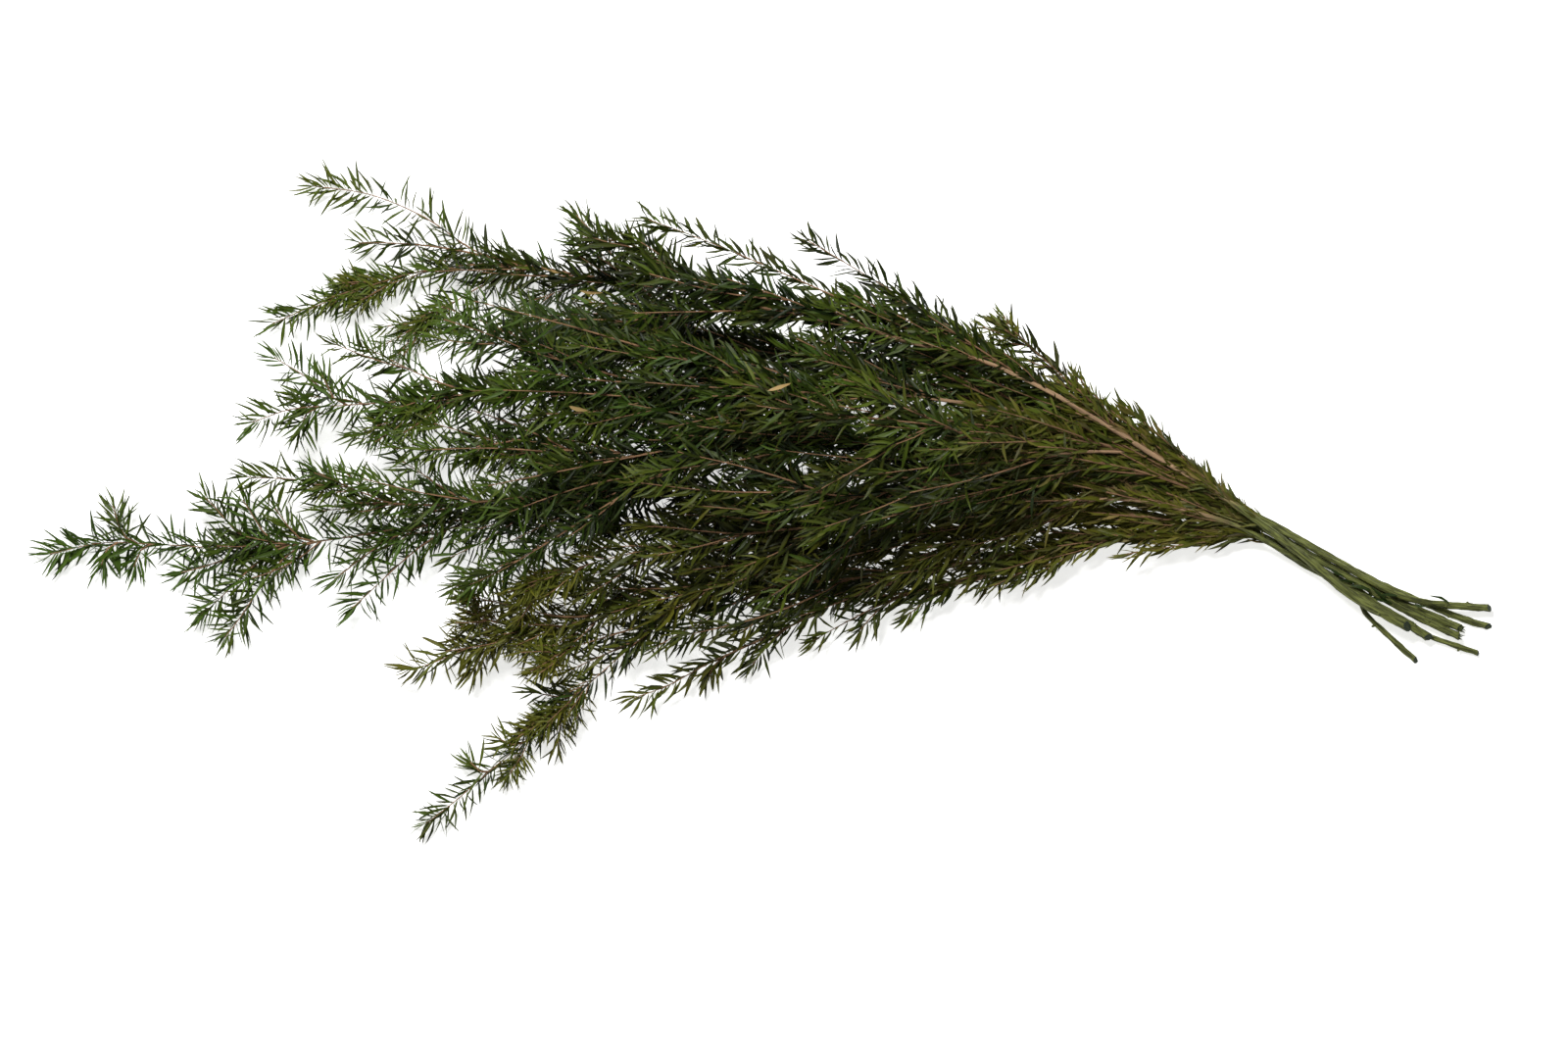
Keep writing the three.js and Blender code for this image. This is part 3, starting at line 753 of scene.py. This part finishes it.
def new_material(name):
    material = bpy.data.materials.new(name)
    material.use_nodes = True
    tree = material.node_tree
    tree.nodes.clear()
    shader = tree.nodes.new("ShaderNodeBsdfPrincipled")
    output = tree.nodes.new("ShaderNodeOutputMaterial")
    put(output.inputs["Surface"], shader.outputs["BSDF"])
    return material, tree, shader


def add_bump(tree, shader, height, strength, depth):
    bump = tree.nodes.new("ShaderNodeBump")
    put(bump.inputs["Height"], height)
    bump.inputs["Strength"].default_value = strength
    bump.inputs["Distance"].default_value = depth
    put(shader.inputs["Normal"], bump.outputs["Normal"])


def leaf_material(leaves):
    """Satin green leaves with a paler midrib, some olive and a few dead ones."""
    material, tree, shader = new_material("tea_tree_leaf")
    _, tone_and_shade, olive, straw = add_split(tree, "leaf_look")
    blade, along, across, under = add_split(tree, "blade")
    place = tree.nodes.new("ShaderNodeTexCoord").outputs["Object"]

    patches = add_mottle(tree, place, 18, -0.12, 0.12)
    # The share from dark to mid green holds each leaf's random variation together with painted
    # shade on low leaves and painted light on the bushes.
    share = add_math(tree, "ADD", tone_and_shade, patches)
    colour = add_mix(tree, share, tuple(leaves.dark_green), tuple(leaves.mid_green))
    olive_share = add_math(tree, "MULTIPLY", olive, add_mottle(tree, place, 60, 0.6, 1.2))
    dull = add_mix(tree, share, shaded(leaves.olive, 0.16), tuple(leaves.olive))
    colour = add_mix(tree, olive_share, colour, dull)
    colour = add_mix(tree, straw, colour, tuple(leaves.straw))

    from_rib = add_math(tree, "ABSOLUTE", across)
    rib = add_range(tree, from_rib, 0.0, 0.3, 0.45, 0.0)
    pale = add_mix(tree, 0.5, colour, tuple(leaves.mid_green))
    colour = add_mix(tree, rib, colour, pale)
    colour = add_mix(tree, add_math(tree, "MULTIPLY", under, 0.35), colour, pale)
    tip = add_math(tree, "MULTIPLY", add_range(tree, along, 0.86, 1.0),
                   add_mottle(tree, place, 90, 0.0, 0.7))
    colour = add_mix(tree, tip, colour, shaded(leaves.straw, 0.5))
    veins = add_grain(tree, blade, (3, 9, 1), 0.78, 1.18)
    veins_colour = tree.nodes.new("ShaderNodeCombineColor")
    for socket in veins_colour.inputs:
        put(socket, veins)
    colour = add_mix(tree, 1.0, colour, veins_colour.outputs[0], "MULTIPLY")
    put(shader.inputs["Base Color"], colour)
    put(shader.inputs["Roughness"], add_mottle(tree, place, 120, 0.34, 0.5))
    shader.inputs["Specular IOR Level"].default_value = 0.16
    add_bump(tree, shader, veins, 0.35, 0.0002)
    return material


def bark_material(wood):
    """Tan bark on the limbs, brown on the twigs and green dye on the bare ends."""
    material, tree, shader = new_material("tea_tree_bark")
    grain, _, _, _ = add_split(tree, "grain")
    _, thick, cut, dyed = add_split(tree, "wood_look")

    streaks = add_grain(tree, grain, (1.6, 1.6, 0.09))
    patches = add_grain(tree, grain, (0.35, 0.35, 0.10))
    tan = add_mix(tree, streaks, shaded(wood.bark_tan, 0.55), tuple(wood.bark_tan))
    twig = add_mix(tree, streaks, shaded(wood.twig_brown, 0.6), tuple(wood.twig_brown))
    colour = add_mix(tree, thick, twig, tan)
    green = add_mix(tree, streaks, shaded(wood.dyed_green, 0.38), shaded(wood.dyed_green, 1.35))
    scuffs = add_grain(tree, grain, (0.9, 0.9, 0.12))
    green = add_mix(tree, add_range(tree, scuffs, 0.5, 1.0, 0.0, 0.85), green,
                    shaded(wood.dyed_green, 0.22))
    dye_edge = add_math(tree, "ADD", dyed, add_math(tree, "MULTIPLY", patches, 0.25))
    colour = add_mix(tree, add_range(tree, dye_edge, 0.15, 0.9), colour, green)
    face = add_mix(tree, streaks, shaded(wood.cut_wood, 0.6), tuple(wood.cut_wood))
    colour = add_mix(tree, cut, colour, face)
    put(shader.inputs["Base Color"], colour)
    put(shader.inputs["Roughness"], add_range(tree, streaks, 0.0, 1.0, 0.82, 0.62))
    shader.inputs["Specular IOR Level"].default_value = 0.35
    fine = add_grain(tree, grain, (5, 5, 0.4))
    add_bump(tree, shader, add_math(tree, "ADD", streaks, fine), 0.5, 0.0003)
    return material


def floor_material(stage):
    material, tree, shader = new_material("pale_floor")
    place = tree.nodes.new("ShaderNodeTexCoord").outputs["Object"]
    shade = add_mottle(tree, place, 3)
    colour = tuple(stage.floor_colour)
    put(shader.inputs["Base Color"], add_mix(tree, shade, shaded(colour, 0.985), colour))
    shader.inputs["Roughness"].default_value = 0.9
    shader.inputs["Emission Color"].default_value = (1, 1, 0.99, 1)
    shader.inputs["Emission Strength"].default_value = stage.floor_glow
    return material


def finish_piece(name, bm, stem, material):
    """Turns a bmesh in millimetres into a piece in metres that stands for a stem's node."""
    for vertex in bm.verts:
        vertex.co.z = max(vertex.co.z, LOWEST_POINT)
    bmesh.ops.scale(bm, vec=(MM, MM, MM), verts=bm.verts)
    for face in bm.faces:
        face.smooth = True
    mesh = bpy.data.meshes.new(name)
    bm.to_mesh(mesh)
    bm.free()
    mesh.materials.append(material)
    piece = bpy.data.objects.new(name, mesh)
    bpy.context.scene.collection.objects.link(piece)
    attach(piece, BODY)
    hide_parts(stem["name"])
    return piece


def turn_to(heading):
    """Turns the Z axis to a heading, and keeps the Y axis as high as it can be."""
    side = UP.cross(heading).normalized()
    return Matrix((side, heading.cross(side), heading)).transposed().to_4x4()


def smooth_share(value, low, high):
    share = min(max((value - low) / (high - low), 0), 1)
    return share * share * (3 - 2 * share)


def bark_relief(grain, radius):
    """How far the bark stands out or in, as a share of the radius."""
    ridges = noise.noise(Vector((grain.x * 1.4, grain.y * 1.4, grain.z * 0.05)))
    knots = noise.noise(Vector((grain.x * 0.5, grain.y * 0.5, grain.z * 0.2)))
    return (0.26 * ridges + 0.3 * knots) * smooth_share(radius, 0.3, 1.2)


def add_tube(bm, branch, sides, layers, seed):
    """Extrudes a ring along a branch, with a disc at both ends. Returns the root disc."""
    grain_layer, look_layer = layers
    made = bmesh.ops.create_circle(bm, cap_ends=True, segments=sides, radius=1)
    root_disc = made["verts"][0].link_faces[0]
    ring, edges = made["verts"], list(root_disc.edges)
    was = Matrix.Identity(4)
    last = len(branch.points) - 1
    pushes = []
    for i, (point, distance) in enumerate(zip(branch.points, branch.reach)):
        if i:
            grown = bmesh.ops.extrude_edge_only(bm, edges=edges)["geom"]
            ring = [part for part in grown if isinstance(part, bmesh.types.BMVert)]
            on_ring = set(ring)
            edges = [part for part in grown if isinstance(part, bmesh.types.BMEdge)
                     and on_ring.issuperset(part.verts)]
        ahead = branch.points[min(i + 1, last)] - branch.points[max(i - 1, 0)]
        radius = branch.radius_at(distance)
        place = Matrix.Translation(point) @ turn_to(ahead.normalized()) @ Matrix.Scale(radius, 4)
        bmesh.ops.transform(bm, matrix=place @ was.inverted(), verts=ring)
        was = place
        back = place.inverted()
        thick = smooth_share(radius, 0.65, 1.2)
        dyed = smooth_share(point.x, *DYED_FROM_X)
        for vertex in ring:
            spoke = back @ vertex.co
            grain = Vector((spoke.x * radius, spoke.y * radius, distance + seed))
            vertex[grain_layer] = grain
            vertex[look_layer] = (thick, 0, dyed)
            pushes.append((vertex, (vertex.co - point) * bark_relief(grain, radius)))
    bmesh.ops.edgeloop_fill(bm, edges=edges)
    for vertex, push in pushes:
        vertex.co += push
    return root_disc


def cut_across(bm, disc, trunk, slant, tilt, layers):
    """Finishes the cut face of a stem: aslant, with a rim of bark round sunk wood."""
    _, look_layer = layers
    heading = (trunk.points[1] - trunk.points[0]).normalized()
    side = UP.cross(heading).normalized()
    for vertex in disc.verts:
        spoke = vertex.co - trunk.points[0]
        vertex.co += heading * (spoke.dot(side) * slant + spoke.z * tilt)
    for edge in disc.edges:
        edge.smooth = False
    bmesh.ops.inset_region(bm, faces=[disc], thickness=trunk.radius * 0.16, depth=-0.25,
                           use_even_offset=True)
    for vertex in disc.verts:
        vertex[look_layer] = (1, 1, 1)
    for edge in disc.edges:
        edge.smooth = False
    middle = bmesh.ops.poke(bm, faces=[disc])["verts"]
    for vertex in middle:
        vertex[look_layer] = (1, 0.6, 1)


def add_splinters(bm, trunk, count, rng, layers):
    """Split fibres that stand out from a frayed end."""
    grain_layer, look_layer = layers
    out = (trunk.points[0] - trunk.points[1]).normalized()
    for i in range(count):
        length = rng.uniform(1.2, 4.2)
        turn = turn_to(out) @ Matrix.Rotation(i * 2 * math.pi / count, 4, "Z")
        lean = Matrix.Rotation(rng.uniform(-0.05, 0.25), 4, "Y")
        offset = Matrix.Translation((trunk.radius * rng.uniform(0.45, 0.8), 0, length * 0.3))
        place = Matrix.Translation(trunk.points[0]) @ turn @ offset @ lean
        made = bmesh.ops.create_cone(bm, cap_ends=True, segments=5,
                                     radius1=rng.uniform(0.3, 0.6), radius2=0.08,
                                     depth=length, matrix=place)
        for vertex in made["verts"]:
            vertex[grain_layer] = vertex.co - trunk.points[0]
            vertex[look_layer] = (1, rng.uniform(0, 0.8), 1)


def stub_branch(trunk, distance, turn, length, radius):
    """A short stub that stands out sideways from a bare end."""
    root, heading = trunk.at(distance)
    direction = spread_direction(heading, math.radians(turn), math.radians(62))
    reach = trunk.radius_at(distance) + length
    route = [root, root + direction * reach * 0.5, root + direction * reach * 0.85,
             root + direction * reach]
    return Branch("stub", route, radius, STUB_TAPER)


def leaf_shape(name, leaves, bend, sweep, twist, broad):
    """A leaf along X with its upper face up: a small sphere drawn out into a folded blade."""
    bm = bmesh.new()
    bmesh.ops.create_uvsphere(bm, u_segments=4, v_segments=4, radius=1)
    blade = bm.verts.layers.float_vector.new("blade")
    for vertex in bm.verts:
        x, y, z = vertex.co
        along = (1 + z) / 2
        shape = math.sin(math.pi * along ** 0.9) ** 0.85 if 0.001 < along < 0.999 else 0
        half_width = leaves.width / 2 * broad * shape
        if abs(x) > 0.01:
            across, under, height = math.copysign(1, x), 0.3, half_width * LEAF_FOLD
        else:
            across, under = 0, (1 if y < -0.01 else 0)
            height = leaves.thickness * shape * (0.3 if y > 0 else -0.7)
        curve = Matrix.Rotation(twist * along, 3, "X")
        place = curve @ Vector((0, across * half_width, height))
        curl = leaves.length * along * along
        vertex.co = Vector((along * leaves.length, place.y + sweep * curl,
                            place.z - bend * curl))
        vertex[blade] = (along, across, under)
    for edge in bm.edges:
        a, b = edge.verts
        edge.smooth = abs(a[blade].x - b[blade].x) < 0.01
    bmesh.ops.recalc_face_normals(bm, faces=bm.faces)
    mesh = bpy.data.meshes.new(name)
    bm.to_mesh(mesh)
    bm.free()
    return mesh


def leaf_shapes(leaves):
    """Leaves that differ in (bend down, sweep to the shoot's tip, twist, breadth).

    The first list is for the left side of a shoot and the second for its right side.
    """
    forms = [(0.04, 0.26, 0.3, 0.95), (0.12, 0.34, -0.5, 1.0), (-0.08, 0.46, 0.6, 0.85),
             (0.22, 0.18, 0.2, 1.15), (-0.18, 0.38, -0.4, 0.95), (0.28, -0.08, 0.8, 0.8)]
    return [[leaf_shape(f"leaf_{n}", leaves, bend, sweep * side, twist * side, broad)
             for n, (bend, sweep, twist, broad) in enumerate(forms)] for side in (1, -1)]


def leaf_place(root, direction, heading, roll, size, broad):
    """Puts a leaf at its root, with its upper face to the light and the tip, then rolled."""
    face = heading * 0.45 + UP
    face = (face - direction * face.dot(direction)).normalized()
    turn = Matrix((direction, face.cross(direction), face)).transposed().to_4x4()
    return (Matrix.Translation(root) @ Matrix.Rotation(roll, 4, direction) @ turn
            @ Matrix.Diagonal((size, size * broad, size, 1)))


def is_on_right(place, heading):
    """Whether a leaf's own left side turns away from its shoot's tip."""
    return place.col[1].to_3d().dot(heading) < 0


def leaves_along(branch, stem, leaves, rng):
    """Where the leaves of a branch stand: (place, on the right, tone, olive, straw)."""
    found = []
    branch_tone, branch_olive = rng.gauss(0, 0.17), rng.gauss(0, 0.14)
    in_bush = branch.kind == "bush"
    turn = rng.uniform(0, 2 * math.pi)
    distance = branch.leafy_from + rng.uniform(1, 3)
    while distance < branch.length:
        root, heading = branch.at(distance)
        radius = branch.radius_at(distance)
        to_tip = branch.length - distance
        gathered = smooth_share(root.x, *GATHERED_X)
        open_end = smooth_share(-root.x, *OPEN_END)
        spread = leaves.spread * (1 - 0.42 * gathered + 0.34 * open_end)
        spread *= rng.uniform(*LEAF_SPREAD)
        spread *= 0.5 + 0.5 * smooth_share(to_tip, 0, 10)
        direction = spread_direction(heading, turn, spread)
        direction = (direction - UP * direction.z * LEAF_PRESSED).normalized()
        size = rng.uniform(*LEAF_SIZE) * (0.82 + 0.18 * smooth_share(to_tip, 0, 12))
        size *= (1 - 0.12 * gathered) * (1 + 0.1 * open_end) * (0.72 if in_bush else 1)
        lowest = (LOWEST_LEAF_TIP - root.z) / (leaves.length * size)
        if direction.z < lowest:
            direction.z = lowest
            direction.normalize()
        place = leaf_place(root, direction, heading, rng.gauss(0, LEAF_ROLL), size,
                           1 - 0.24 * open_end)
        tone_and_shade = rng.gauss(-0.05, 0.19) + 0.36 * (1 - smooth_share(to_tip, 0, 30)) + branch_tone
        # Leaves higher in the pile are made lighter and low ones darker: painted shade for the
        # shade that falls deeper in the pile.
        tone_and_shade += 0.18 * smooth_share(root.z, 15, 95) + 0.5 * smooth_share(-root.x, *PALE_END)
        tone_and_shade += 0.3 * gathered + 0.26 * smooth_share(root.x, *RIGHT_PART_X)
        tone_and_shade += 0.15 * stem["olive"]
        # Bush leaves are made much lighter: partly their paler young growth, partly painted light
        # that lifts them out of the shade of the shoots above. Leaves also get lighter towards
        # minus Y.
        tone_and_shade += (0.85 if in_bush else 0) + 0.24 * smooth_share(-root.y, 5, 70)
        olive = stem["olive"] * (1.3 if in_bush else 0.8) + 0.6 * gathered
        olive += branch_olive + rng.gauss(0, 0.1)
        olive += 0.4 * stem["olive"] * (1 - smooth_share(to_tip, 0, 45))
        straw = 1 if rng.random() < DEAD_LEAVES else max(0, rng.gauss(-0.08, 0.25)) * gathered
        is_hiding_stem = direction.z > 0.25 and rng.random() < HIDING_LEAVES
        if (root + direction * leaves.length * size).z < HIGHEST_LEAF_TIP and not is_hiding_stem:
            found.append((place, is_on_right(place, heading), min(max(tone_and_shade, 0), 1),
                          min(max(olive, 0), 1), straw))
        turn += GOLDEN_TURN + rng.uniform(-0.35, 0.35)
        not_closed = 1 - smooth_share(root.x, *BARE_TO_LEAFY_X)
        bare = smooth_share(radius, 0.75, 1.4) * not_closed
        if branch.kind in ("trunk", "limb"):
            bare += 0.8 * smooth_share(root.x, *CLEAR_WOOD_X) * not_closed
        far = smooth_share(-root.x, *FAR_END)
        low = (1 - smooth_share(root.z, 14, 40)) * (1 - smooth_share(root.x, 90, 170))
        step = leaves.spacing * rng.uniform(*LEAF_STEP) * (1 + 5 * bare - 0.3 * far)
        step *= 0.85 if branch.kind != "twig" else 1 + 0.35 * low
        crowded = (0.3 + 0.15 * open_end) * (1 - smooth_share(to_tip, 0, 12 + 32 * open_end))
        distance += step * (1 - crowded)
    return found


def loose_leaves(leaves, rng):
    """The leaves caught between the bare ends, and the dead ones that lie on top."""
    found = []
    for root, tip, straw in LOOSE_LEAVES:
        root, tip = Vector(root), Vector(tip)
        direction = (tip - root).normalized()
        size = (tip - root).length / leaves.length
        place = leaf_place(root, direction, UP, rng.uniform(-0.5, 0.5), size, 1 / size)
        found.append((place, False, 0.2, 0, straw))
    return found


class TEA_TREE_OT_wood(bpy.types.Operator):
    """Makes the stems, limbs, shoots and twigs, with their bark and their cut ends"""

    bl_idname = "tea_tree.wood"
    bl_label = "Make the wood"

    def execute(self, context):
        wood = context.scene.tea_tree_wood
        material = bark_material(wood)
        for number, stem in enumerate(STEMS, 1):
            rng = random.Random(number)
            bm = bmesh.new()
            layers = (bm.verts.layers.float_vector.new("grain"),
                      bm.verts.layers.float_vector.new("wood_look"))
            branches = grow_stem(stem, wood)
            trunk = branches[0]
            branches += [stub_branch(trunk, *stub[1:]) for stub in STUBS if stub[0] == number]
            for order, branch in enumerate(branches):
                disc = add_tube(bm, branch, SIDES[branch.kind], layers, order * 37)
                if branch is trunk:
                    cut_across(bm, disc, trunk, rng.uniform(-0.45, 0.45),
                               rng.uniform(0.3, 0.9), layers)
            for frayed, count in FRAYED:
                if frayed == number:
                    add_splinters(bm, trunk, count, rng, layers)
            bmesh.ops.recalc_face_normals(bm, faces=bm.faces)
            finish_piece(f"tea_tree_wood_{number}", bm, stem, material)
        return {"FINISHED"}


class TEA_TREE_OT_leaves(bpy.types.Operator):
    """Makes the leaves of every stem, set in spirals along its shoots and twigs"""

    bl_idname = "tea_tree.leaves"
    bl_label = "Make the leaves"

    def execute(self, context):
        leaves = context.scene.tea_tree_leaves
        material = leaf_material(leaves)
        shapes = leaf_shapes(leaves)
        for number, stem in enumerate(STEMS, 1):
            rng = random.Random(number * 100)
            found = []
            for branch in grow_stem(stem, context.scene.tea_tree_wood):
                found += leaves_along(branch, stem, leaves, rng)
            if number == LOOSE_LEAVES_ON:
                found += loose_leaves(leaves, rng)
            bm = bmesh.new()
            looks = []
            for place, on_right, tone_and_shade, olive, straw in found:
                leaf = rng.choice(shapes[on_right]).copy()
                leaf.transform(place)
                bm.from_mesh(leaf)
                looks += [tone_and_shade, olive, straw] * len(leaf.vertices)
                bpy.data.meshes.remove(leaf)
            piece = finish_piece(f"tea_tree_leaves_{number}", bm, stem, material)
            look = piece.data.attributes.new("leaf_look", "FLOAT_VECTOR", "POINT")
            look.data.foreach_set("vector", looks)
        for shape in shapes[0] + shapes[1]:
            bpy.data.meshes.remove(shape)
        return {"FINISHED"}


class TEA_TREE_OT_stage(bpy.types.Operator):
    """Makes the pale floor, the soft lights and the camera that looks straight down"""

    bl_idname = "tea_tree.stage"
    bl_label = "Make the stage"

    def execute(self, context):
        stage = context.scene.tea_tree_stage
        bm = bmesh.new()
        bmesh.ops.create_grid(bm, x_segments=1, y_segments=1, size=4)
        mesh = bpy.data.meshes.new("floor")
        bm.to_mesh(mesh)
        bm.free()
        mesh.materials.append(floor_material(stage))
        floor = bpy.data.objects.new("floor", mesh)
        context.scene.collection.objects.link(floor)

        middle = Vector((0, 0, (CAD_LOW.z + CAD_HIGH.z) / 2))
        for name, place, size, power in (
                ("key_light", Vector((-0.5, 1.1, 1.9)), 0.6, stage.key_power),
                ("fill_light", Vector((0.9, -0.5, 2.2)), 1.8, stage.key_power * FILL_SHARE)):
            light = bpy.data.lights.new(name, "AREA")
            light.size = size
            light.energy = power
            lamp = bpy.data.objects.new(name, light)
            lamp.location = place
            lamp.rotation_euler = (middle - place).to_track_quat("-Z", "Y").to_euler()
            context.scene.collection.objects.link(lamp)

        world = bpy.data.worlds.new("soft_studio")
        world.use_nodes = True
        background = world.node_tree.nodes["Background"]
        background.inputs["Color"].default_value = (1, 0.98, 0.95, 1)
        background.inputs["Strength"].default_value = WORLD_LIGHT
        context.scene.world = world

        camera = bpy.data.cameras.new("camera")
        camera.sensor_width = 36
        camera.lens = camera.sensor_width * stage.camera_height / stage.view_width
        eye = bpy.data.objects.new("camera", camera)
        eye.location = (VIEW_CENTRE.x, VIEW_CENTRE.y, VIEW_CENTRE.z + stage.camera_height)
        context.scene.collection.objects.link(eye)
        context.scene.camera = eye
        context.scene.view_settings.view_transform = "Standard"
        return {"FINISHED"}


class TEA_TREE_PT_panel(bpy.types.Panel):
    """Lists the steps that make the bunch"""

    bl_label = "Tea Tree Bunch"
    bl_idname = "TEA_TREE_PT_panel"
    bl_space_type = "VIEW_3D"
    bl_region_type = "UI"
    bl_category = "Tea Tree"

    def draw(self, context):
        for step in (TEA_TREE_OT_stage, TEA_TREE_OT_wood, TEA_TREE_OT_leaves):
            self.layout.operator(step.bl_idname)


CLASSES = (TeaTreeWood, TeaTreeLeaves, TeaTreeStage, TEA_TREE_OT_stage, TEA_TREE_OT_wood,
           TEA_TREE_OT_leaves, TEA_TREE_PT_panel)


def register():
    for made in CLASSES:
        bpy.utils.register_class(made)
    bpy.types.Scene.tea_tree_wood = PointerProperty(type=TeaTreeWood)
    bpy.types.Scene.tea_tree_leaves = PointerProperty(type=TeaTreeLeaves)
    bpy.types.Scene.tea_tree_stage = PointerProperty(type=TeaTreeStage)


def unregister():
    del bpy.types.Scene.tea_tree_stage
    del bpy.types.Scene.tea_tree_leaves
    del bpy.types.Scene.tea_tree_wood
    for made in reversed(CLASSES):
        bpy.utils.unregister_class(made)


def main():
    register()
    bpy.ops.tea_tree.stage()
    bpy.ops.tea_tree.wood()
    bpy.ops.tea_tree.leaves()


if __name__ == "__main__":
    main()
